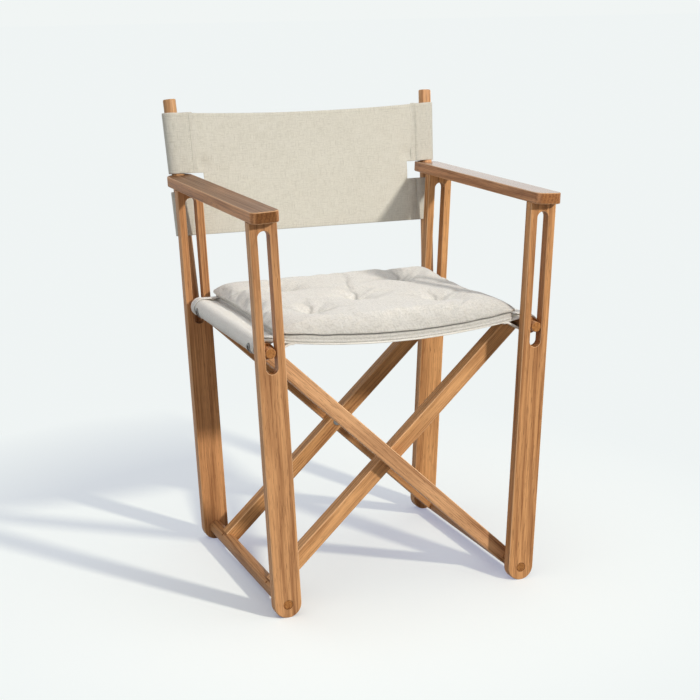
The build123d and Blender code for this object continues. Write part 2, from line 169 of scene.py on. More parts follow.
def tinted(colour, cast):
    return tuple(part * share for part, share in zip(colour, cast))


def seen_plainly(tree):
    """1 for rays from the camera, by reflection or through glass, and 0 for rays that gather light."""
    path = node(tree, "ShaderNodeLightPath").outputs
    seen = math_node(tree, "MAXIMUM", path["Is Camera Ray"], path["Is Glossy Ray"])
    return math_node(tree, "MAXIMUM", seen, path["Is Transmission Ray"])


def blank_material(name):
    """New material, with its node tree and its surface shader."""
    material = bpy.data.materials.new(name)
    material.use_nodes = True
    tree = material.node_tree
    return material, tree, tree.nodes["Principled BSDF"]


# Teak's colours
TEAK_LIGHT = (0.66, 0.336, 0.141)
TEAK_DARK = (0.27, 0.111, 0.041)
TEAK_PORE = (0.11, 0.045, 0.019)
# Colour of the painted highlight on rounded edges
TEAK_EDGE_HIGHLIGHT = (0.80, 0.52, 0.30)
END_LIGHT = (0.56, 0.50, 0.36)
END_DARK = (0.52, 0.44, 0.38)

# Noises of the grain: cycles per metre along and across it, detail, roughness
GRAIN_WOBBLE = ((2.2, 16.0, 16.0), 2.0, 0.5)
GRAIN_STREAK = ((3.0, 150.0, 150.0), 3.0, 0.6)
GRAIN_BAND = ((1.3, 28.0, 28.0), 2.0, 0.5)
GRAIN_LINE = ((5.5, 430.0, 430.0), 3.0, 0.7)
GRAIN_FIBRE = ((26.0, 1500.0, 1500.0), 2.0, 0.6)
GRAIN_PORE = ((48.0, 1100.0, 1100.0), 1.0, 0.5)
END_FLECK = ((60.0, 700.0, 330.0), 3.0, 0.65)
TOP_SHADE_MOTTLE = ((5.0, 30.0, 30.0), 3.0, 0.5)

# Shift of the grain from one piece to the next, in metres
GRAIN_SHIFT = (0.37, 0.211, 0.093)

# Growth rings, drawn out along the grain and wider one way across it
RING_STRETCH = (0.028, 1.0, 0.45)
RING_WOBBLE = 0.030
RING_PITCH = 0.0058
RING_RANGE = (-0.6, 1.0)

# How much each grain noise darkens, and over which range
RING_SHARE = 0.24
STREAK_SHARE = 0.70
BAND_SHARE = 0.38
LINE_SHARE = 0.36
LINE_RANGE = (0.46, 0.68)
FIGURE_RANGE = (0.47, 1.12)
FIBRE_RANGE = (0.25, 0.75)
FIBRE_SHADE = (0.80, 1.14)
PORE_RANGE = (0.62, 0.72)
PORE_SHARE = 0.60

# End grain, painted shade on the tops, and painted highlights on the rounded edges
END_RANGE = (0.70, 0.95)
END_RING_SHARE = 0.25
END_FLECK_RANGE = (0.35, 0.65, 0.0, 0.75)
TOP_SHADE_RANGE = (0.35, 0.65)
TOP_SHADE_SPREAD = 0.10
TOP_RANGE = (0.80, 0.98)
TOP_COAT_ROUGH = 0.14
EDGE_HIGHLIGHT_RANGE = (0.06, 0.22)
EDGE_HIGHLIGHT = 0.55

# Feel of the wood
GRAIN_BUMP = 0.35
GRAIN_DEPTH = 0.0003
WOOD_ROUGH_RANGE = (0.3, 0.7, 0.38, 0.52)
END_ROUGH = 0.3
WOOD_GLEAM = 0.15


def teak(name, seed, along, tone=1.0, red=0.0, pale=0.0, top_shade_tone=1.0, gloss=0.0, end_tone=1.0, face=None):
    """Oiled teak whose grain runs along a direction, with end grain, painted shade on its tops and painted
    highlights along its rounded edges.
    """
    material, tree, shader = blank_material(name)
    place = node(tree, "ShaderNodeTexCoord").outputs
    turn = along.rotation_difference(SIDEWAYS).to_euler()
    mapping = {"Vector": place["Object"], "Rotation": turn, "Location": scaled(GRAIN_SHIFT, seed)}
    grain = node(tree, "ShaderNodeMapping", mapping).outputs["Vector"]

    def layer(look):
        return speckle(tree, grain, *look)

    def along_share(direction):
        return vector_node(tree, "DOT_PRODUCT", place["Normal"], direction).outputs["Value"]

    off_middle = vector_node(tree, "MULTIPLY", grain, RING_STRETCH).outputs[0]
    depth = vector_node(tree, "LENGTH", off_middle).outputs["Value"]
    depth = math_node(tree, "MULTIPLY_ADD", layer(GRAIN_WOBBLE), RING_WOBBLE, depth)
    ring = math_node(tree, "SINE", math_node(tree, "MULTIPLY", depth, 2 * math.pi / RING_PITCH))
    ring = span(tree, ring, *RING_RANGE)
    streak = layer(GRAIN_STREAK)
    line = span(tree, layer(GRAIN_LINE), *LINE_RANGE)
    fibre = layer(GRAIN_FIBRE)
    pore = span(tree, layer(GRAIN_PORE), *PORE_RANGE)

    figure = math_node(tree, "MULTIPLY", streak, STREAK_SHARE)
    for mark, share in ((ring, RING_SHARE), (layer(GRAIN_BAND), BAND_SHARE), (line, LINE_SHARE)):
        figure = math_node(tree, "MULTIPLY_ADD", mark, share, figure)
    cast = (tone, tone * (1 - red), tone * (1 + pale))
    light = tinted(TEAK_LIGHT, cast)
    dark = tinted(TEAK_DARK, cast)
    colour = mixed(tree, span(tree, figure, *FIGURE_RANGE), light, dark)
    colour = shaded(tree, colour, span(tree, fibre, *FIBRE_RANGE, *FIBRE_SHADE))
    colour = mixed(tree, math_node(tree, "MULTIPLY", pore, PORE_SHARE), colour, TEAK_PORE)

    end = span(tree, math_node(tree, "ABSOLUTE", along_share(along)), *END_RANGE)
    fleck = span(tree, layer(END_FLECK), *END_FLECK_RANGE)
    end_share = math_node(tree, "MULTIPLY_ADD", ring, END_RING_SHARE, fleck)
    end_light = tinted(light, scaled(END_LIGHT, end_tone))
    end_dark = tinted(dark, scaled(END_DARK, end_tone))
    colour = mixed(tree, end, colour, mixed(tree, end_share, end_light, end_dark))

    # Painted shade on the tops, darker in mottled patches, and a clear coat on them
    if top_shade_tone < 1.0:
        patch = span(tree, layer(TOP_SHADE_MOTTLE), *TOP_SHADE_RANGE, top_shade_tone - TOP_SHADE_SPREAD, top_shade_tone + TOP_SHADE_SPREAD)
        top = span(tree, along_share(UPWARD), *TOP_RANGE)
        colour = mixed(tree, top, colour, shaded(tree, colour, patch))
        coat = math_node(tree, "MULTIPLY", top, gloss)
        feed(tree, shader, {"Coat Weight": coat, "Coat Roughness": TOP_COAT_ROUGH})

    # Painted highlight: the rounded edges between faces that look along the face direction and across it
    # are lightened
    if face is not None:
        lean = along_share(face)
        square = math_node(tree, "MULTIPLY", lean, lean)
        slant = math_node(tree, "MULTIPLY", square, math_node(tree, "SUBTRACT", 1.0, square))
        edge_highlight = span(tree, slant, *EDGE_HIGHLIGHT_RANGE, 0.0, EDGE_HIGHLIGHT)
        colour = mixed(tree, edge_highlight, colour, scaled(TEAK_EDGE_HIGHLIGHT, tone))

    height = math_node(tree, "MULTIPLY_ADD", pore, -1.0, fibre)
    bump = node(tree, "ShaderNodeBump", {"Height": height, "Strength": GRAIN_BUMP, "Distance": GRAIN_DEPTH})
    rough = math_node(tree, "MULTIPLY_ADD", end, END_ROUGH, span(tree, streak, *WOOD_ROUGH_RANGE))
    surface = {"Base Color": colour, "Roughness": rough, "Normal": bump.outputs["Normal"]}
    feed(tree, shader, surface | {"Specular IOR Level": WOOD_GLEAM})
    return material


# Linen: the pale and grey threads of each cloth, and how mottled it is
SLING_PALE = (0.705, 0.677, 0.583)
SLING_GREY = (0.552, 0.522, 0.437)
SLING_GRAIN = 0.06
# The seat cloth's linen is lighter than the back's: painted light for its shaded left sleeve
SEAT_PALE = (0.95, 0.915, 0.835)
SEAT_GREY = (0.84, 0.80, 0.715)
PAD_PALE = (0.82, 0.795, 0.738)
PAD_GREY = (0.625, 0.602, 0.552)
PAD_GRAIN = 0.14
# How strongly the pad's painted shade darkens its linen
PAD_PAINTED_SHADE_DEPTH = 0.8

# Weave and stitches, in metres, and a stitch's length as a share of their pitch
THREAD_PITCH = 0.0012
STITCH_PITCH = 0.0034
STITCH_LONG = 0.62
STITCH_WIDTH = (0.0002, 0.0006)

# Noises of the linen: cycles per metre across and up the cloth, detail, roughness
SLUB_ACROSS = ((55.0, 900.0, 1.0), 2.0, 0.6)
SLUB_UP = ((900.0, 55.0, 1.0), 2.0, 0.6)
CLOUD = ((14.0, 14.0, 1.0), 2.0, 0.6)
MOTTLE = ((260.0, 300.0, 1.0), 2.0, 0.6)
FLECK = ((170.0, 700.0, 1.0), 2.0, 0.6)

# How much each darkens, and over which range
CLOUD_SHARE = 0.12
MOTTLE_RANGE = (0.3, 0.7)
GREY_RANGE = (0.52, 0.80)
FLECK_RANGE = (0.64, 0.74)
FLECK_SHARE = 0.40
FLECK_TONE = 0.62
GAP_RANGE = (0.0, 0.5, 0.86, 1.04)
# Grey that painted shade darkens the linen towards
PAINTED_SHADE_TONE = 0.22
STITCH_SHARE = 0.30
STITCH_TONE = 0.5

# Feel of the linen
SLUB_HEIGHT = 0.6
STITCH_HEIGHT = 0.6
WEAVE_BUMP = 0.5
WEAVE_DEPTH = 0.0004
LINEN_FEEL = {
    "Roughness": 0.92,
    "Specular IOR Level": 0.2,
    "Sheen Weight": 0.40,
    "Sheen Roughness": 0.5,
    "Subsurface Weight": 0.25,
    "Subsurface Scale": 0.012,
    "Subsurface Radius": (1.0, 0.9, 0.75),
}


def stitches(tree, across, along, line):
    """Share of thread at a place of the flat map, for a row of stitches on both sides of the middle."""
    from_line = math_node(tree, "SUBTRACT", math_node(tree, "ABSOLUTE", across), line)
    on_line = span(tree, math_node(tree, "ABSOLUTE", from_line), *STITCH_WIDTH, 1.0, 0.0)
    step = math_node(tree, "FRACT", math_node(tree, "DIVIDE", along, STITCH_PITCH))
    return math_node(tree, "MULTIPLY", on_line, math_node(tree, "LESS_THAN", step, STITCH_LONG))


def linen(name, pale, grey, grain=0.0, painted_shade_depth=0.6, upright_rows=(), level_rows=()):
    """Plain-woven linen on the piece's own flat map, in metres, with uneven threads, stitched seams, and
    painted shade where the piece carries it.
    """
    material, tree, shader = blank_material(name)
    flat = node(tree, "ShaderNodeUVMap", uv_map="flat").outputs["UV"]
    parts = node(tree, "ShaderNodeSeparateXYZ", {0: flat}).outputs
    turns = math.pi / THREAD_PITCH
    warp = math_node(tree, "SINE", math_node(tree, "MULTIPLY", parts["X"], turns))
    weft = math_node(tree, "SINE", math_node(tree, "MULTIPLY", parts["Y"], turns))
    weave = math_node(tree, "ABSOLUTE", math_node(tree, "MULTIPLY", warp, weft))

    def threads(look):
        return speckle(tree, flat, *look)

    def darkened(colour, share, amount, tone):
        return mixed(tree, math_node(tree, "MULTIPLY", share, amount), colour, scaled(grey, tone))

    slub = math_node(tree, "MAXIMUM", threads(SLUB_ACROSS), threads(SLUB_UP))
    tint = math_node(tree, "MULTIPLY_ADD", threads(CLOUD), CLOUD_SHARE, slub)
    mottle = span(tree, threads(MOTTLE), *MOTTLE_RANGE, -grain, grain)
    colour = mixed(tree, span(tree, math_node(tree, "ADD", tint, mottle), *GREY_RANGE), pale, grey)
    colour = darkened(colour, span(tree, threads(FLECK), *FLECK_RANGE), FLECK_SHARE, FLECK_TONE)
    colour = shaded(tree, colour, span(tree, weave, *GAP_RANGE))
    # Painted shade that a piece carries on its points darkens the linen here
    painted_shade = node(tree, "ShaderNodeAttribute", attribute_name="painted_shade").outputs["Fac"]
    colour = darkened(colour, painted_shade, painted_shade_depth, PAINTED_SHADE_TONE)
    height = math_node(tree, "MULTIPLY_ADD", tint, SLUB_HEIGHT, weave)
    rows = [stitches(tree, parts["X"], parts["Y"], line) for line in upright_rows]
    rows += [stitches(tree, parts["Y"], parts["X"], line) for line in level_rows]
    for row in rows:
        colour = darkened(colour, row, STITCH_SHARE, STITCH_TONE)
        height = math_node(tree, "MULTIPLY_ADD", row, STITCH_HEIGHT, height)
    bump = node(tree, "ShaderNodeBump", {"Height": height, "Strength": WEAVE_BUMP, "Distance": WEAVE_DEPTH})
    feed(tree, shader, {"Base Color": colour, "Normal": bump.outputs["Normal"]} | LINEN_FEEL)
    return material


# Dull plated steel
STEEL_DARK = (0.42, 0.42, 0.42)
STEEL_LIGHT = (0.60, 0.59, 0.57)
STEEL_RUB = ((900.0, 900.0, 900.0), 3.0, 0.5)
STEEL_ROUGH_RANGE = (0.3, 0.7, 0.28, 0.45)


def steel(name, tone=1.0):
    """Dull plated steel, rubbed unevenly."""
    material, tree, shader = blank_material(name)
    rub = speckle(tree, node(tree, "ShaderNodeTexCoord").outputs["Object"], *STEEL_RUB)
    colour = mixed(tree, rub, scaled(STEEL_DARK, tone), scaled(STEEL_LIGHT, tone))
    rough = span(tree, rub, *STEEL_ROUGH_RANGE)
    feed(tree, shader, {"Base Color": colour, "Roughness": rough, "Metallic": 1.0})
    return material


# Wooden pieces keep their shape from the part and take their grain here
ARM = dict(along=REARWARD, face=UPWARD)
WOOD = {
    "leg_front_right": dict(along=UP_RIGHT, tone=1.04, face=REARWARD),
    "leg_rear_left": dict(along=UP_LEFT, tone=0.96, red=0.02, face=REARWARD),
    "leg_rear_right": dict(along=UP_RIGHT, tone=1.06, red=-0.02, face=REARWARD),
    "leg_front_left": dict(along=UP_LEFT, tone=1.03, red=-0.03, pale=0.10, face=REARWARD),
    "armrest_left": dict(ARM, tone=0.95, red=0.05, top_shade_tone=0.49, gloss=0.10, end_tone=0.75),
    "armrest_right": dict(ARM, tone=0.92, red=0.02, pale=0.15, top_shade_tone=0.85, gloss=1.0, end_tone=1.35),
    "back_post_left": dict(along=POST_LEFT, tone=1.0, red=-0.12, pale=0.30),
    "back_post_right": dict(along=POST_RIGHT, tone=1.46, red=-0.13, pale=0.38),
    "cross_bar_front_outer": dict(along=OUTER_BAR, tone=1.22, red=-0.12, pale=0.35, face=REARWARD),
    "cross_bar_rear_outer": dict(along=OUTER_BAR, tone=0.93, face=REARWARD),
    "cross_bar_front_inner": dict(along=INNER_BAR, tone=1.18, red=-0.06, pale=0.10, face=REARWARD),
    "cross_bar_rear_inner": dict(along=INNER_BAR, tone=1.05, red=-0.03, face=REARWARD),
    "seat_rail_left": dict(along=REARWARD, end_tone=1.5),
    "seat_rail_right": dict(along=REARWARD, end_tone=1.5),
    "lower_rail_left": dict(along=REARWARD, tone=0.76, end_tone=1.9),
    "lower_rail_right": dict(along=REARWARD, tone=0.86, end_tone=1.4),
    "armrest_dowels_left": dict(along=UP_LEFT, tone=0.85),
    "armrest_dowels_right": dict(along=UP_RIGHT, tone=0.85),
    "tenon_pegs_inner": dict(along=OUTER_BAR, tone=0.8),
    "tenon_pegs_outer": dict(along=INNER_BAR, tone=0.8),
}

# Metal pieces and how bright each is
METAL = {
    "post_screws_left": 1.0,
    "post_screws_right": 1.0,
    "eyelets_left": 0.38,
    "eyelets_right": 0.38,
    "pivot_bolts": 0.5,
    "pivot_washers": 0.12,
}


def give_finish(piece, material):
    """Give a piece one material."""
    piece.data.materials.clear()
    piece.data.materials.append(material)


def finish_wood():
    for seed, (name, look) in enumerate(WOOD.items(), start=1):
        give_finish(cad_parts[name], teak(f"teak_{name}", seed, **look))


def finish_metal():
    for name, tone in METAL.items():
        give_finish(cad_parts[name], steel(f"steel_{name}", tone))


def piece_from(shape, name, material):
    """Object at the origin from a bmesh, smooth shaded, with one material."""
    mesh = bpy.data.meshes.new(name)
    shape.to_mesh(mesh)
    shape.free()
    for polygon in mesh.polygons:
        polygon.use_smooth = True
    piece = bpy.data.objects.new(name, mesh)
    bpy.context.scene.collection.objects.link(piece)
    give_finish(piece, material)
    return piece


# Cloth: its thickness, the columns and rows of its grids, and the finer grid round a hole
CLOTH_T = 0.0013
BACK_GRID = (172, 44)
SEAT_GRID = (150, 58)
STRAP_GRID = (8, 4)
HOLE_FINER_REACH = 2.2
HOLE_FINER_CUTS = 3

# Points closer than this are one, and how a sleeve's turn is searched for
SAME_PLACE = 1e-6
LEAST_TURN = 0.05
TURN_HALVINGS = 50


def map_flat(cloth, flat_place):
    """Write the flat place of each corner, in metres, to the piece's flat map."""
    layer = cloth.loops.layers.uv.new("flat")
    for face in cloth.faces:
        for corner in face.loops:
            corner[layer].uv = flat_place(corner.vert.co)


def flat_cloth(width, length, grid):
    """Flat grid of cloth."""
    cloth = bmesh.new()
    bmesh.ops.create_grid(cloth, x_segments=grid[0], y_segments=grid[1], size=0.5)
    bmesh.ops.scale(cloth, vec=(width, length, 1), verts=cloth.verts)
    return cloth


def crease_line(cloth, point, normal):
    """Add a straight row of edges across flat cloth."""
    everything = list(cloth.verts) + list(cloth.edges) + list(cloth.faces)
    bmesh.ops.bisect_plane(cloth, geom=everything, dist=SAME_PLACE, plane_co=point, plane_no=normal)


def cut_away(cloth, outside):
    """Remove the faces whose flat middle the test names."""
    gone = [face for face in cloth.faces if outside(face.calc_center_median())]
    bmesh.ops.delete(cloth, geom=gone, context="FACES")


def punch(cloth, centre, radius):
    """Cut a round hole in flat cloth, after making its grid finer there."""
    close = [vert for vert in cloth.verts if (vert.co - centre).length < HOLE_FINER_REACH * radius]
    edges = [edge for edge in cloth.edges if edge.verts[0] in close and edge.verts[1] in close]
    bmesh.ops.subdivide_edges(cloth, edges=edges, cuts=HOLE_FINER_CUTS, use_grid_fill=True)
    cut_away(cloth, lambda middle: (middle - centre).length < radius)


def smooth_once(piece):
    """Round a piece off by one subdivision."""
    smooth = piece.modifiers.new("smooth", "SUBSURF")
    smooth.levels = 1
    smooth.render_levels = 1


def thicken(piece, thickness):
    """Give cloth its thickness, evenly to both sides, and smooth it."""
    wall = piece.modifiers.new("thickness", "SOLIDIFY")
    wall.thickness = thickness
    wall.offset = 0.0
    smooth_once(piece)


def sleeve_turn(radius, seam_in, lift):
    """Angle past half a turn at which a sleeve leaves its rod for the stitched line, and the straight run
    left.
    """
    low, high = LEAST_TURN, math.pi / 2
    for _ in range(TURN_HALVINGS):
        turn = (low + high) / 2
        if radius + lift * math.cos(turn) > seam_in * math.sin(turn):
            low = turn
        else:
            high = turn
    run = (lift + radius * math.cos(turn)) / math.sin(turn)
    return turn, run


def round_sleeve(past, radius, turn, run):
    """Place beside the rod's axis, as out and towards the sheet's face, for a length past the crown."""
    arc = radius * (math.pi + turn)
    if past < arc:
        angle = past / radius
        return radius * math.sin(angle), radius * math.cos(angle)
    along = min(past - arc, run)
    flat = max(past - arc - run, 0.0)
    outward = -radius * math.sin(turn) - along * math.cos(turn) - flat
    face = -radius * math.cos(turn) + along * math.sin(turn)
    return outward, face


def back_row(up):
    """Right post's axis at a height along the leg."""
    side = LOW_HALF + up * math.sin(SIDE_LEAN)
    rear = POST_FOOT_Y + (up - POST_FOOT) * math.tan(POST_LEAN)
    return Vector((side, rear, LOW_Z + up * math.cos(SIDE_LEAN)))


# Back: a middle with a notch at each armrest, and a sleeve round each post
BACK_LOW = 0.523
BACK_HIGH = 0.7335
BACK_SLEEVE_R = 0.0124
SLEEVE_LOOSE = {-1: 1.27, 1: 1.08}
BACK_SEAM_IN = 0.025
BACK_HEM = 0.006
BACK_HEM_TAIL = 0.010
BACK_STITCH_OUT = 0.002
SEAM_UNDER = 0.002
SEAM_LAP = 0.005
SEAM_TUCK = 0.0016
TUCK_START = 0.0015
BACK_TOP_SAG = 0.007
NOTCH_HALF = 0.193
NOTCH_LOW = 0.599
NOTCH_HIGH = 0.6295
BACK_FACING = Vector((0, -math.cos(POST_LEAN), math.sin(POST_LEAN)))
BACK_DOWN = Vector((0, -math.sin(POST_LEAN), -math.cos(POST_LEAN)))
BACK_LIFT = BACK_SLEEVE_R - SEAM_UNDER
BACK_TURN, BACK_RUN = sleeve_turn(BACK_SLEEVE_R, BACK_SEAM_IN, BACK_LIFT)
BACK_WRAP = BACK_SLEEVE_R * (math.pi + BACK_TURN) + BACK_RUN + BACK_HEM_TAIL
BACK_MID = (BACK_LOW + BACK_HIGH) / 2
BACK_POST_X = back_row(BACK_MID).x
BACK_SEAM_X = BACK_POST_X - BACK_SEAM_IN
BACK_HALF = BACK_POST_X + BACK_WRAP
BACK_HEIGHT = BACK_HIGH - BACK_LOW
NOTCH_LOW_FLAT = NOTCH_LOW - BACK_MID
NOTCH_HIGH_FLAT = NOTCH_HIGH - BACK_MID

# Shape of the back's face: a groove along each seam, with the middle a little lower than the sleeve
SEAM_GROOVE = {-1: 0.0006, 1: 0.0020}
SEAM_GROOVE_WIDTH = 0.0035
SEAM_STEP = 0.0012
SEAM_STEP_WIDTH = 0.006
SLACK_POWER = 6

# Waves of the slack cloth: height, cycles per metre across and up, layer of the noise
BACK_WAVES = [(0.0011, 7, 9, 3.7), (0.0004, 22, 18, 8.1)]

# Dimples by the notches: depth, width, out from the notch, level of its edge, up from that edge
NOTCH_DIMPLES = [
    (0.0035, 0.013, 0.002, NOTCH_HIGH_FLAT, 0.014),
    (0.002, 0.012, 0.0, NOTCH_LOW_FLAT, -0.012),
]


def back_bow(side, across, up):
    """Height of the back cloth's face over the posts' axes, at a flat place beside the middle."""
    from_seam = across - BACK_SEAM_X
    groove = math.exp(-((from_seam / SEAM_GROOVE_WIDTH) ** 2))
    bow = BACK_SLEEVE_R - SEAM_GROOVE[side] * groove
    if from_seam < 0:
        bow -= SEAM_STEP * (1 - math.exp(from_seam / SEAM_STEP_WIDTH))
    slack = 1 - (across / BACK_POST_X) ** SLACK_POWER
    for tall, cycles_across, cycles_up, layer in BACK_WAVES:
        bow += tall * slack * noise.noise(Vector((side * across * cycles_across, up * cycles_up, layer)))
    for depth, width, out, level, rise in NOTCH_DIMPLES:
        away = math.hypot(across - NOTCH_HALF - out, up - level - rise)
        bow -= depth * math.exp(-((away / width) ** 2))
    return bow


def shape_back(flat):
    """Place of a point of the flat back cloth on the chair."""
    post = back_row(BACK_MID + flat.y)
    side = 1 if flat.x >= 0 else -1
    length = abs(flat.x) / BACK_HALF * (post.x + BACK_WRAP)
    if length < post.x:
        middle = length / post.x
        share = (flat.y / BACK_HEIGHT + 0.5) ** 2
        drop = BACK_TOP_SAG * share * (1 - middle ** 2)
        place = Vector((side * length, post.y, post.z))
        return place + BACK_FACING * back_bow(side, length, flat.y) + BACK_DOWN * drop
    outward, face = round_sleeve(length - post.x, BACK_SLEEVE_R, BACK_TURN, BACK_RUN)
    if outward > 0:
        outward *= SLEEVE_LOOSE[side]
    return Vector((side * (post.x + outward), post.y, post.z)) + BACK_FACING * face


def back_piece(name, material, keeps, under=0.0):
    """Piece of the back cloth whose flat places pass a test, with its lap under the middle pressed in."""
    cloth = flat_cloth(2 * BACK_HALF, BACK_HEIGHT, BACK_GRID)
    for side in (-1, 1):
        for line in (NOTCH_HALF, BACK_SEAM_X, BACK_SEAM_X - SEAM_LAP):
            crease_line(cloth, (side * line, 0, 0), SIDEWAYS)
    for level in (NOTCH_LOW_FLAT, NOTCH_HIGH_FLAT):
        crease_line(cloth, (0, level, 0), REARWARD)

    def outside(middle):
        in_notch = abs(middle.x) > NOTCH_HALF and NOTCH_LOW_FLAT < middle.y < NOTCH_HIGH_FLAT
        return in_notch or not keeps(middle.x)

    cut_away(cloth, outside)
    map_flat(cloth, lambda flat: flat.xy)
    for vert in cloth.verts:
        lap = max(0.0, BACK_SEAM_X + TUCK_START - abs(vert.co.x)) / SEAM_LAP
        vert.co = shape_back(vert.co) - BACK_FACING * under * min(1.0, lap)
    piece = piece_from(cloth, name, material)
    thicken(piece, CLOTH_T)
    return piece


# Seat: one sheet with a sleeve round each seat rail, slit for the cross bars and holed for the eyelets
SEAT_SLEEVE_R = 0.0145
SEAT_SEAM_IN = 0.040
SEAT_HEM_TAIL = 0.008
SEAT_LENGTH = 0.356
SEAT_SAG = 0.0205
HEM = 0.012
HEM_LAYERS = 3
SLIT_TURN = math.radians(158)
BAR_GAP_HALF = 0.0142
OUTER_MID = 0.1457
INNER_MID = 0.119
BAR_GAPS = [(-1, OUTER_MID), (-1, -OUTER_MID), (1, INNER_MID), (1, -INNER_MID)]
EYELET_Y = 0.140
EYELET_DROP = math.radians(15)
EYELET_CUT_R = 0.0068
SEAT_LIFT = SEAT_SLEEVE_R - SEAM_UNDER
SEAT_TURN, SEAT_RUN = sleeve_turn(SEAT_SLEEVE_R, SEAT_SEAM_IN, SEAT_LIFT)
SEAT_WRAP = SEAT_SLEEVE_R * (math.pi + SEAT_TURN) + SEAT_RUN + SEAT_HEM_TAIL
SEAT_FLAT_HALF = SEAT_HALF + SEAT_WRAP


def sling_height(x):
    """Top of the sagging seat cloth between the rails."""
    return SEAT_Z + SEAT_SLEEVE_R - SEAT_SAG * (1 - (x / SEAT_HALF) ** 2)


def shape_seat(flat):
    """Place of a point of the flat seat cloth on the chair."""
    side = 1 if flat.x >= 0 else -1
    length = abs(flat.x)
    y = LEG_MID_Y + flat.y
    if length < SEAT_HALF:
        return Vector((side * length, y, sling_height(length)))
    outward, face = round_sleeve(length - SEAT_HALF, SEAT_SLEEVE_R, SEAT_TURN, SEAT_RUN)
    drop = 0.0
    if outward < 0:
        drop = sling_height(SEAT_HALF + outward) - SEAT_Z - SEAT_SLEEVE_R
        drop *= min(1.0, -outward / SEAT_SEAM_IN)
    return Vector((side * (SEAT_HALF + outward), y, SEAT_Z + face + drop))


def seat_sling(material):
    """Seat cloth round both rails, thicker at its front and rear hems."""
    cloth = flat_cloth(2 * SEAT_FLAT_HALF, SEAT_LENGTH, SEAT_GRID)
    slit = SEAT_HALF + SEAT_SLEEVE_R * SLIT_TURN
    for side in (-1, 1):
        crease_line(cloth, (side * slit, 0, 0), SIDEWAYS)
    for side, middle in BAR_GAPS:
        for edge in (-BAR_GAP_HALF, BAR_GAP_HALF):
            crease_line(cloth, (0, middle + edge, 0), REARWARD)

    def in_gap(place):
        return any(
            side * place.x > slit and abs(place.y - middle) < BAR_GAP_HALF for side, middle in BAR_GAPS
        )

    cut_away(cloth, in_gap)
    eyelet_x = SEAT_HALF + SEAT_SLEEVE_R * (math.pi / 2 + EYELET_DROP)
    for side in (-1, 1):
        for y in (-EYELET_Y, EYELET_Y):
            punch(cloth, Vector((side * eyelet_x, y, 0)), EYELET_CUT_R)
    map_flat(cloth, lambda flat: flat.xy)
    for vert in cloth.verts:
        vert.co = shape_seat(vert.co)
    piece = piece_from(cloth, "seat_cloth", material)
    thicken(piece, HEM_LAYERS * CLOTH_T)
    hem = piece.vertex_groups.new(name="layers")
    for vert in piece.data.vertices:
        in_hem = abs(vert.co.y - LEG_MID_Y) > SEAT_LENGTH / 2 - HEM
        hem.add([vert.index], 1.0 if in_hem else 1 / HEM_LAYERS, "REPLACE")
    piece.modifiers["thickness"].vertex_group = "layers"
    return piece


# Cushion: a tufted top over a low border with a welt along its foot
PAD_GRID = (106, 97)
CUSHION_HALF_X = 0.2055
CUSHION_HALF_Y = 0.181
CUSHION_CORNER = 0.016
CUSHION_CROWN = 0.4645
CUSHION_CLEAR = 0.0012
CUSHION_LEAST = 0.004
REAR_RISE = 0.0050
RIGHT_RISE = 0.0035
SIDE_PULL = 0.030
FRONT_PULL = 0.008

# Rows of the grid, closer together at the edges and by the tufts
EDGE_CROWD = 0.28
GATHER = 0.5
GATHER_X = 0.108
GATHER_Y = 0.088

# Places of the lattice, which runs from -1 to 1, that lie further out than this are on its sides
ON_SIDE = 0.999

# Rounded edge of the top, and the border under it
ROLL_WIDTH = 0.034
ROLL_OUT = 0.0012
ROLL_OUT_WIDTH = 0.008
TOP_IN = 0.0008
PUCKER = 0.0010
PUCKER_REACH = 0.016
PUCKER_NOISE = (130, 5.2)
RIPPLE = 0.0008
RIPPLE_NOISE = (45, 1.3)
LOW_SIDE = 0.42
SIDE_BLEND = 0.012
SIDE_RECESS = 2.2
BORDER_WAVE = 0.13
BORDER_NOISE = (28, 2.4)

# Side of the cushion from its foot to the lip of its top: out from its plan, and up
CUSHION_SIDE = [
    (-0.0060, 0.0), (-0.0034, 0.0004), (-0.0024, 0.0021), (-0.0030, 0.0038),
    (-0.0046, 0.0047), (-0.0040, 0.0064), (-0.0036, 0.0084), (-0.0038, 0.0104),
    (-0.0060, 0.0122), (-0.0056, 0.0131), (-0.0008, 0.0138),
]
LIP_UP = CUSHION_SIDE[-1][1]

# Tufts, with pleats that run out from each
TUFTS = [(-0.112, -0.080), (0.108, -0.080), (-0.006, -0.010), (-0.108, 0.085), (0.115, 0.090)]
TUFT_DEPTH = 0.0165
TUFT_REACH = 0.036
TUFT_STEEP = 2.2
TUFT_R = 0.0040
PLEATS = 7
PLEAT_DEPTH = 0.0022
PLEAT_OUT = 0.013
PLEAT_WIDTH = 0.014
PLEAT_TURN = 1.7
PLEAT_SWAY = 0.8
PLEAT_SHARP = 3

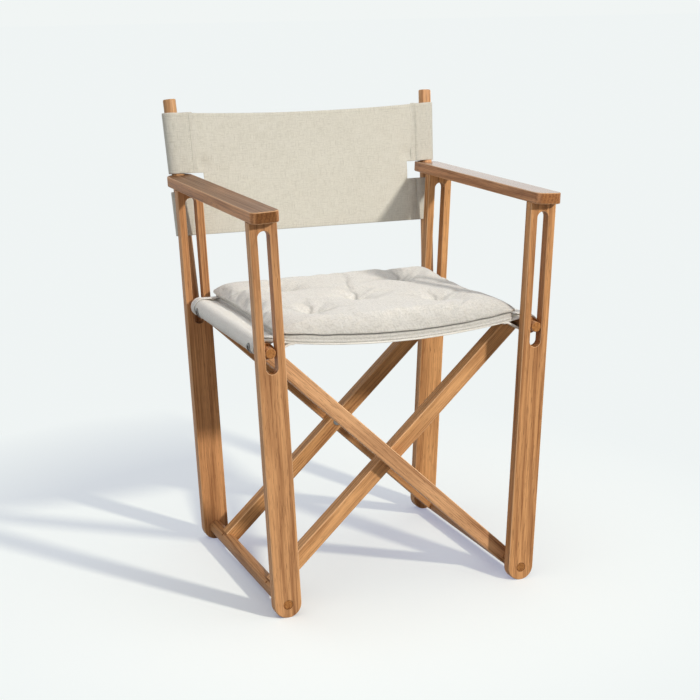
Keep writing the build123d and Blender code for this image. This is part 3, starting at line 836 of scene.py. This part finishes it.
# Folds of the top: from, to, depth
FOLDS = [
    ((-0.112, -0.080), (-0.106, -0.028), 0.0055),
    ((0.108, -0.080), (0.113, -0.034), 0.0055),
    ((-0.006, -0.010), (0.002, 0.044), 0.0060),
    ((-0.108, 0.085), (-0.102, 0.132), 0.0050),
    ((0.115, 0.090), (0.118, 0.138), 0.0060),
    ((0.002, 0.044), (0.036, 0.176), 0.0036),
    ((0.115, 0.090), (0.150, 0.128), 0.0036),
    ((-0.108, 0.085), (-0.014, 0.040), 0.0024),
    ((-0.108, 0.085), (-0.188, 0.096), 0.0026),
    ((-0.112, -0.080), (-0.190, -0.050), 0.0026),
    ((-0.112, -0.080), (-0.040, -0.100), 0.0024),
    ((-0.070, -0.125), (-0.058, -0.176), 0.0026),
    ((0.108, -0.080), (0.030, -0.044), 0.0024),
    ((0.108, -0.080), (0.168, -0.052), 0.0024),
    ((0.115, 0.090), (0.186, 0.030), 0.0036),
    ((0.150, 0.010), (0.192, -0.040), 0.0026),
    ((0.140, 0.060), (0.194, 0.000), 0.0028),
    ((0.115, 0.090), (0.030, 0.066), 0.0026),
]
FOLD_WIDTH = 0.0050
FOLD_START_WIDE = 0.7
FOLD_FADE = 0.75
FOLD_BEND = 0.003
FOLD_WAVES = 2.6
FOLD_WAVE_SHIFT = 40
CREASE_DEPTH = 0.0060
CREASE_WIDTH = 0.0025
CREASE_HELD = 0.60

# Painted shade on the cushion, from 0 to 1, at its rounded edge, border, tufts and creases, and the rows of
# its side under the top's lip that take a painted shadow
ROLL_PAINTED_SHADE = 0.32
LEFT_ROLL_PAINTED_SHADE = 0.06
ROLL_PAINTED_SHADE_WIDTH = 0.022
BORDER_PAINTED_SHADE = 0.20
TUFT_PAINTED_SHADE = 0.70
CREASE_PAINTED_SHADE = 0.95
SEAM_SHADOW_FROM = 0.5
SEAM_SHADOW_TO = 0.9

# Faces whose normal rises less than this take their flat map from the side
UPRIGHT = 0.7

# How the pad swells
SWELL_STEPS = 20
SWELL_MOST = 0.0055
SWELL_CLOTH = {
    "quality": 8,
    "mass": 0.3,
    "vertex_group_mass": "held",
    "tension_stiffness": 15,
    "compression_stiffness": 15,
    "shear_stiffness": 5,
    "bending_stiffness": 0.03,
    "shrink_min": -0.02,
    "use_pressure": True,
    "uniform_pressure_force": 2.5,
}


def waver(x, y, cycles, layer):
    """Smooth noise over the plan, with its cycles per metre."""
    return noise.noise(Vector((x * cycles, y * cycles, layer)))


def gathered(part, half, period):
    """Place of a grid line from -1 to 1, with lines closer at the edges and by the rows of tufts."""
    place = ((1 + EDGE_CROWD) * part - EDGE_CROWD * part ** 3) * half
    wave = math.sin(2 * math.pi * place / period)
    return place - GATHER * period / (2 * math.pi) * (1 - part ** 2) * wave


def cushion_plan(a, b):
    """Plan place of a grid place from -1 to 1, with round corners."""
    x = gathered(a, CUSHION_HALF_X, GATHER_X)
    y = gathered(b, CUSHION_HALF_Y, GATHER_Y)
    inner_x = CUSHION_HALF_X - CUSHION_CORNER
    inner_y = CUSHION_HALF_Y - CUSHION_CORNER
    over_x = max(abs(x) - inner_x, 0.0)
    over_y = max(abs(y) - inner_y, 0.0)
    if over_x > 0 and over_y > 0:
        reach = max(over_x, over_y) / math.hypot(over_x, over_y)
        x = math.copysign(inner_x + over_x * reach, x)
        y = math.copysign(inner_y + over_y * reach, y)
    return x, y


def pulled_in(x, y):
    """Plan place after the edges between the corners pull in."""
    a = x / CUSHION_HALF_X
    b = y / CUSHION_HALF_Y
    pulled_x = x * (1 - SIDE_PULL * (1 - b * b) * abs(a) ** 3)
    pulled_y = y * (1 - FRONT_PULL * (1 - a * a) * abs(b) ** 3)
    return pulled_x, pulled_y


def edge_ways(x, y):
    """Ways from a plan place to the nearer side and to the nearer of front and rear."""
    return max(CUSHION_HALF_X - abs(x), 0.0), max(CUSHION_HALF_Y - abs(y), 0.0)


def edge_distance(x, y):
    """Distance from the cushion's outline, over round corners that keep their radius further in."""
    beside, before = edge_ways(x, y)
    apart = abs(beside - before)
    if apart >= CUSHION_CORNER:
        return min(beside, before)
    rounding = math.sqrt(CUSHION_CORNER ** 2 / 2 - apart ** 2 / 4) - CUSHION_CORNER
    return max((beside + before) / 2 + rounding, 0.0)


def cushion_out(x, y):
    """Direction square to the cushion's side, or none away from its sides."""
    inner_x = CUSHION_HALF_X - CUSHION_CORNER
    inner_y = CUSHION_HALF_Y - CUSHION_CORNER
    away = Vector((x - max(-inner_x, min(inner_x, x)), y - max(-inner_y, min(inner_y, y)), 0))
    return away.normalized() if away.length > SAME_PLACE else Vector((0, 0, 0))


def folds_near(x, y):
    """For each fold of the top: its depth beside a plan place, its distance, and how wide it is there."""
    for start, end, depth in FOLDS:
        run = Vector(end) - Vector(start)
        way = Vector((x, y)) - Vector(start)
        share = max(0.0, min(1.0, way.dot(run) / run.length_squared))
        across = (run.x * way.y - run.y * way.x) / run.length
        bend = FOLD_BEND * math.sin(FOLD_WAVES * math.pi * share + FOLD_WAVE_SHIFT * depth * math.pi)
        beyond = (way - run * share).length if share in (0.0, 1.0) else abs(across - bend)
        yield depth * (1 - FOLD_FADE * share), beyond, FOLD_START_WIDE + share


def fold_dip(x, y):
    """How far the folds sink at a plan place."""
    return sum(depth * math.exp(-beyond / (FOLD_WIDTH * wide)) for depth, beyond, wide in folds_near(x, y))


def crease(x, y):
    """How near a plan place is to the bottom of a deep fold, from 0 to 1."""
    return max(
        depth / CREASE_DEPTH * math.exp(-((beyond / (CREASE_WIDTH * wide)) ** 2))
        for depth, beyond, wide in folds_near(x, y)
    )


def tuft_dip(x, y):
    """How far the tufts and their pleats pull the top down."""
    dip = 0.0
    for turn, (tuft_x, tuft_y) in enumerate(TUFTS):
        away = math.hypot(x - tuft_x, y - tuft_y)
        angle = math.atan2(y - tuft_y, x - tuft_x)
        swing = PLEATS * angle + PLEAT_TURN * turn + PLEAT_SWAY * math.sin(2 * angle + turn)
        pleat = (0.5 + 0.5 * math.cos(swing)) ** PLEAT_SHARP
        cone = max(0.0, 1 - away / TUFT_REACH)
        dip += TUFT_DEPTH * cone ** TUFT_STEEP
        dip += PLEAT_DEPTH * pleat * math.exp(-(((away - PLEAT_OUT) / PLEAT_WIDTH) ** 2))
    return dip


def roll_painted_shade(x, y):
    """Painted shade on the rounded edge of the top at a plan place, less of it at the left."""
    _, before = edge_ways(x, y)
    left = 1 / (1 + math.exp((CUSHION_HALF_X + x - before) / SIDE_BLEND))
    near = math.exp(-((edge_distance(x, y) / ROLL_PAINTED_SHADE_WIDTH) ** 2))
    return near * (ROLL_PAINTED_SHADE + (LEFT_ROLL_PAINTED_SHADE - ROLL_PAINTED_SHADE) * left)


def border_share(x, y):
    """Height of the border as a share of its greatest, which is less at the left and right sides."""
    beside, before = edge_ways(x, y)
    return 1 - LOW_SIDE / (1 + math.exp((beside - before) / SIDE_BLEND))


def on_cushion_side(part):
    return max(abs(part.x), abs(part.y)) > ON_SIDE


def cushion_shape(part):
    """Place of a point of the cushion's box lattice, whose sides run from -1 to 1, before it swells."""
    plan = cushion_plan(part.x, part.y)
    x, y = pulled_in(*plan)
    foot = sling_height(x) + CUSHION_CLEAR
    tall = border_share(*plan) + BORDER_WAVE * waver(x, y, *BORDER_NOISE)
    outward = cushion_out(*plan)
    if on_cushion_side(part):
        out, up = CUSHION_SIDE[round((part.z + 1) / 2 * (len(CUSHION_SIDE) - 1))]
        recess = 1 + SIDE_RECESS * (1 - tall)
        return Vector((x, LEG_MID_Y + y, foot + up * tall)) + outward * out * recess
    if part.z < 0:
        return Vector((x, LEG_MID_Y + y, foot))
    from_edge = edge_distance(*plan)
    lip = foot + LIP_UP * tall
    steep = 1 - min(from_edge / ROLL_WIDTH, 1.0)
    rise = math.sqrt(1 - steep ** 2)
    pucker = PUCKER * math.exp(-from_edge / PUCKER_REACH) * waver(x, y, *PUCKER_NOISE)
    ripple = RIPPLE * waver(x, y, *RIPPLE_NOISE)
    dip = (tuft_dip(x, y) + fold_dip(x, y)) * rise
    rear = REAR_RISE * max(y, 0.0) / CUSHION_HALF_Y
    right = RIGHT_RISE * max(x, 0.0) / CUSHION_HALF_X
    crown = CUSHION_CROWN + rear + right
    height = lip + (crown - lip) * rise - dip + (pucker + ripple) * rise
    roll = ROLL_OUT * math.exp(-((from_edge / ROLL_OUT_WIDTH) ** 2)) - TOP_IN
    return Vector((x, LEG_MID_Y + y, max(height, foot + CUSHION_LEAST))) + outward * roll


def lattice_box(columns, rows, levels):
    """Closed box from -1 to 1 whose faces are cut into a grid."""
    box = bmesh.new()
    bmesh.ops.create_cube(box, size=2)

    def run(edge):
        return edge.verts[0].co - edge.verts[1].co

    for axis, parts in enumerate((columns, rows, levels)):
        along = [edge for edge in box.edges if abs(run(edge)[axis]) > SAME_PLACE]
        bmesh.ops.subdivide_edges(box, edges=along, cuts=parts - 1, use_grid_fill=True)
    return box


def swell(piece, held):
    """Blow a pad up with cloth simulation, held at some points, and keep each point within a distance."""
    scene = bpy.context.scene
    group = piece.vertex_groups.new(name="held")
    group.add(held, 1.0, "REPLACE")
    before = [vert.co.copy() for vert in piece.data.vertices]
    cloth = piece.modifiers.new("swell", "CLOTH")
    cloth.point_cache.frame_end = SWELL_STEPS
    for setting, value in SWELL_CLOTH.items():
        setattr(cloth.settings, setting, value)
    cloth.settings.effector_weights.gravity = 0
    for step in range(1, SWELL_STEPS + 1):
        scene.frame_set(step)
    blown = piece.evaluated_get(bpy.context.evaluated_depsgraph_get())
    after = [vert.co.copy() for vert in blown.data.vertices]
    for vert, start, end in zip(piece.data.vertices, before, after):
        move = end - start
        if move.length > SWELL_MOST:
            move *= SWELL_MOST / move.length
        vert.co = start + move
    piece.modifiers.remove(cloth)
    piece.vertex_groups.remove(group)
    scene.frame_set(1)


def cushion_painted_shade(part, x, y, in_tuft, creased):
    """How much painted shade a point of the cushion takes, from 0 to 1: a painted shadow under the top's
    lip, and painted shade on the border, rounded edge, tufts and creases.
    """
    if on_cushion_side(part):
        return 1.0 if SEAM_SHADOW_FROM < part.z < SEAM_SHADOW_TO else BORDER_PAINTED_SHADE
    if part.z < 0:
        return 0.0
    return max(roll_painted_shade(x, y), CREASE_PAINTED_SHADE * creased, TUFT_PAINTED_SHADE if in_tuft else 0.0)


def cushion(material):
    """Tufted pad with painted shade at its edges, tufts and creases, mapped flat and then blown up."""
    pad = lattice_box(*PAD_GRID, len(CUSHION_SIDE) - 1)
    layer = pad.loops.layers.uv.new("flat")
    painted_shade = pad.verts.layers.float.new("painted_shade")
    held = []
    for vert in pad.verts:
        part = vert.co.copy()
        vert.co = cushion_shape(part)
        x, y, _ = vert.co - Vector((0, LEG_MID_Y, 0))
        in_tuft = any(math.hypot(x - tuft_x, y - tuft_y) < TUFT_R for tuft_x, tuft_y in TUFTS)
        creased = crease(x, y)
        if on_cushion_side(part) or part.z < 0 or in_tuft or creased > CREASE_HELD:
            held.append(vert.index)
        # Painted shade, kept on the points for the pad's linen to darken by
        vert[painted_shade] = cushion_painted_shade(part, x, y, in_tuft, creased)
    bmesh.ops.recalc_face_normals(pad, faces=pad.faces)
    pad.normal_update()
    for face in pad.faces:
        upright = abs(face.normal.z) < UPRIGHT
        for corner in face.loops:
            place = corner.vert.co
            corner[layer].uv = (place.x + place.y, place.z) if upright else place.xy
    piece = piece_from(pad, "seat_pad", material)
    swell(piece, held)
    smooth_once(piece)
    return piece


# Straps from the cushion's corners over the sleeves
STRAP_W = 0.014
STRAP_T = 0.0014
STRAP_Y = 0.160
STRAP_R = 0.0165
STRAP_START_X = 0.188
STRAP_WRAP = math.radians(110)
STRAP_STEPS = 14

# Points of a strap this near the rail's crown are on it
AT_CROWN = 1e-5


def strap(name, side, y, material):
    """Flat strap that runs off the cushion and down over a seat rail's sleeve."""
    reach = SEAT_HALF - STRAP_START_X
    band = flat_cloth(reach, STRAP_W, STRAP_GRID)
    middle = (side * (STRAP_START_X + reach / 2), LEG_MID_Y + y, SEAT_Z + STRAP_R)
    bmesh.ops.translate(band, vec=middle, verts=band.verts)

    def at_crown(vert):
        return abs(abs(vert.co.x) - SEAT_HALF) < AT_CROWN

    crown = [edge for edge in band.edges if all(at_crown(vert) for vert in edge.verts)]
    rail = (side * SEAT_HALF, 0, SEAT_Z)
    bmesh.ops.spin(band, geom=crown, cent=rail, axis=(0, side, 0), angle=STRAP_WRAP, steps=STRAP_STEPS)
    bmesh.ops.remove_doubles(band, verts=band.verts, dist=SAME_PLACE)
    bmesh.ops.recalc_face_normals(band, faces=band.faces)
    map_flat(band, lambda place: (place.x - place.z, place.y))
    piece = piece_from(band, name, material)
    thicken(piece, STRAP_T)
    return piece


def stage_floor():
    """Plain pale floor whose shadows fade away from the chair and are deepest at its front left foot."""
    ground = bmesh.new()
    bmesh.ops.create_grid(ground, x_segments=1, y_segments=1, size=FLOOR_HALF)
    material = bpy.data.materials.new("pale_floor")
    material.use_nodes = True
    tree = material.node_tree
    tree.nodes.clear()
    place = node(tree, "ShaderNodeTexCoord").outputs["Object"]
    seen = seen_plainly(tree)

    def nearness(middle, full, none):
        away = vector_node(tree, "DISTANCE", place, middle).outputs["Value"]
        return span(tree, away, full, none, 1.0, 0.0)

    # Glow seen only directly paints light into the floor's shadows: partly near the chair, less by its
    # front left foot, and wholly far from it
    near = nearness(SHADOW_MIDDLE, SHADOW_FADE, SHADOW_END)
    deep = nearness(DEEP_SHADOW_AT, 0.0, DEEP_SHADOW_REACH)
    lit = tuple(glow + paint for glow, paint in zip(FLOOR_GLOW, FLOOR_PAINT))
    deep_paint = tuple(paint + more for paint, more in zip(FLOOR_PAINT, DEEP_SHADOW))
    deep_glow = tuple(glow - more for glow, more in zip(FLOOR_GLOW, DEEP_SHADOW))
    paint = mixed(tree, near, (0.0, 0.0, 0.0), mixed(tree, deep, FLOOR_PAINT, deep_paint))
    glow = mixed(tree, near, lit, mixed(tree, deep, FLOOR_GLOW, deep_glow))
    matt = node(tree, "ShaderNodeBsdfDiffuse", {"Color": mixed(tree, seen, FLOOR_BOUNCE, paint)})
    shine = node(tree, "ShaderNodeEmission", {"Color": glow, "Strength": seen})
    both = node(tree, "ShaderNodeAddShader", {0: matt.outputs[0], 1: shine.outputs[0]})
    node(tree, "ShaderNodeOutputMaterial", {"Surface": both.outputs[0]})
    mesh = bpy.data.meshes.new("floor")
    ground.to_mesh(mesh)
    ground.free()
    mesh.materials.append(material)
    floor = bpy.data.objects.new("floor", mesh)
    bpy.context.scene.collection.objects.link(floor)


def hang_lamp():
    """Studio lamp at the front right, as bright far away as near."""
    bulb = bpy.data.lights.new("lamp", "POINT")
    bulb.energy = 4 * math.pi * LAMP_STRENGTH
    bulb.color = LAMP_COLOUR
    bulb.shadow_soft_size = LAMP_R
    bulb.use_nodes = True
    beam = bulb.node_tree
    even = node(beam, "ShaderNodeLightFalloff", {"Strength": 1.0}).outputs["Constant"]
    feed(beam, beam.nodes["Emission"], {"Strength": even})
    lamp = bpy.data.objects.new("lamp", bulb)
    lamp.location = LAMP_AT
    bpy.context.scene.collection.objects.link(lamp)


def light_sky():
    """Pale sky that lights the chair, and the plain backdrop that shows behind it."""
    world = bpy.data.worlds.new("pale_sky")
    bpy.context.scene.world = world
    world.use_nodes = True
    tree = world.node_tree
    tree.nodes.clear()
    aim = node(tree, "ShaderNodeTexCoord").outputs["Generated"]
    ways = node(tree, "ShaderNodeSeparateXYZ", {0: aim}).outputs
    overhead = math_node(tree, "POWER", math_node(tree, "MAXIMUM", ways["Z"], 0.0), 2.0)
    strength = span(tree, overhead, 0.0, 1.0, SKY_LOW, SKY_HIGH)
    leftward = math_node(tree, "MAXIMUM", math_node(tree, "MULTIPLY", ways["X"], -1.0), 0.0)
    strength = math_node(tree, "MULTIPLY_ADD", leftward, SKY_LEFT, strength)
    sky = node(tree, "ShaderNodeBackground", {"Color": rgba(SKY_COLOUR), "Strength": strength})
    wall = node(tree, "ShaderNodeBackground", {"Color": rgba(BACKDROP), "Strength": 1.0})
    seen = seen_plainly(tree)
    either = node(tree, "ShaderNodeMixShader", {0: seen, 1: sky.outputs[0], 2: wall.outputs[0]})
    node(tree, "ShaderNodeOutputWorld", {"Surface": either.outputs[0]})


def place_camera():
    lens = bpy.data.cameras.new("camera")
    lens.lens = CAMERA_LENS
    lens.sensor_width = CAMERA_SENSOR
    camera = bpy.data.objects.new("camera", lens)
    turn = Matrix.Rotation(CAMERA_YAW, 4, "Z") @ Matrix.Rotation(math.pi / 2 + CAMERA_PITCH, 4, "X")
    camera.matrix_world = Matrix.Translation(CAMERA_AT) @ turn @ Matrix.Rotation(CAMERA_ROLL, 4, "Z")
    bpy.context.scene.collection.objects.link(camera)
    bpy.context.scene.camera = camera


place_camera()
hang_lamp()
light_sky()
stage_floor()
bpy.context.scene.view_settings.view_transform = "Standard"
finish_wood()
finish_metal()

sling_linen = linen("sling_linen", SLING_PALE, SLING_GREY, grain=SLING_GRAIN,
                    upright_rows=(BACK_SEAM_X + BACK_STITCH_OUT,), level_rows=(BACK_HEIGHT / 2 - BACK_HEM,))
seat_linen = linen("seat_linen", SEAT_PALE, SEAT_GREY,
                   upright_rows=(SEAT_HALF - SEAT_SEAM_IN,), level_rows=(SEAT_LENGTH / 2 - HEM,))
pad_linen = linen("pad_linen", PAD_PALE, PAD_GREY, grain=PAD_GRAIN, painted_shade_depth=PAD_PAINTED_SHADE_DEPTH)

back_cloth = back_piece("back_cloth", sling_linen, lambda x: abs(x) < BACK_SEAM_X)
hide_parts("back_sling")
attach(back_cloth, "left_side")
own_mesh(back_cloth)
for side_name, side in (("left", -1), ("right", 1)):
    sleeve = back_piece(
        f"back_sleeve_{side_name}", sling_linen, lambda x: side * x > BACK_SEAM_X - SEAM_LAP, SEAM_TUCK
    )
    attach(sleeve, f"{side_name}_side")

seat_cloth = seat_sling(seat_linen)
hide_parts("seat_sling")
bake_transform(seat_cloth)

seat_pad = cushion(pad_linen)
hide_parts("seat_cushion")
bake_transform(seat_pad)

straps = []
for side_name, side, body in (("left", -1, "outer_frame"), ("right", 1, "inner_frame")):
    for end_name, y in (("front", -STRAP_Y), ("rear", STRAP_Y)):
        tie = strap(f"strap_{end_name}_{side_name}", side, y, pad_linen)
        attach(tie, body)
        straps.append(tie)
for tie in straps:
    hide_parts("cushion_straps")
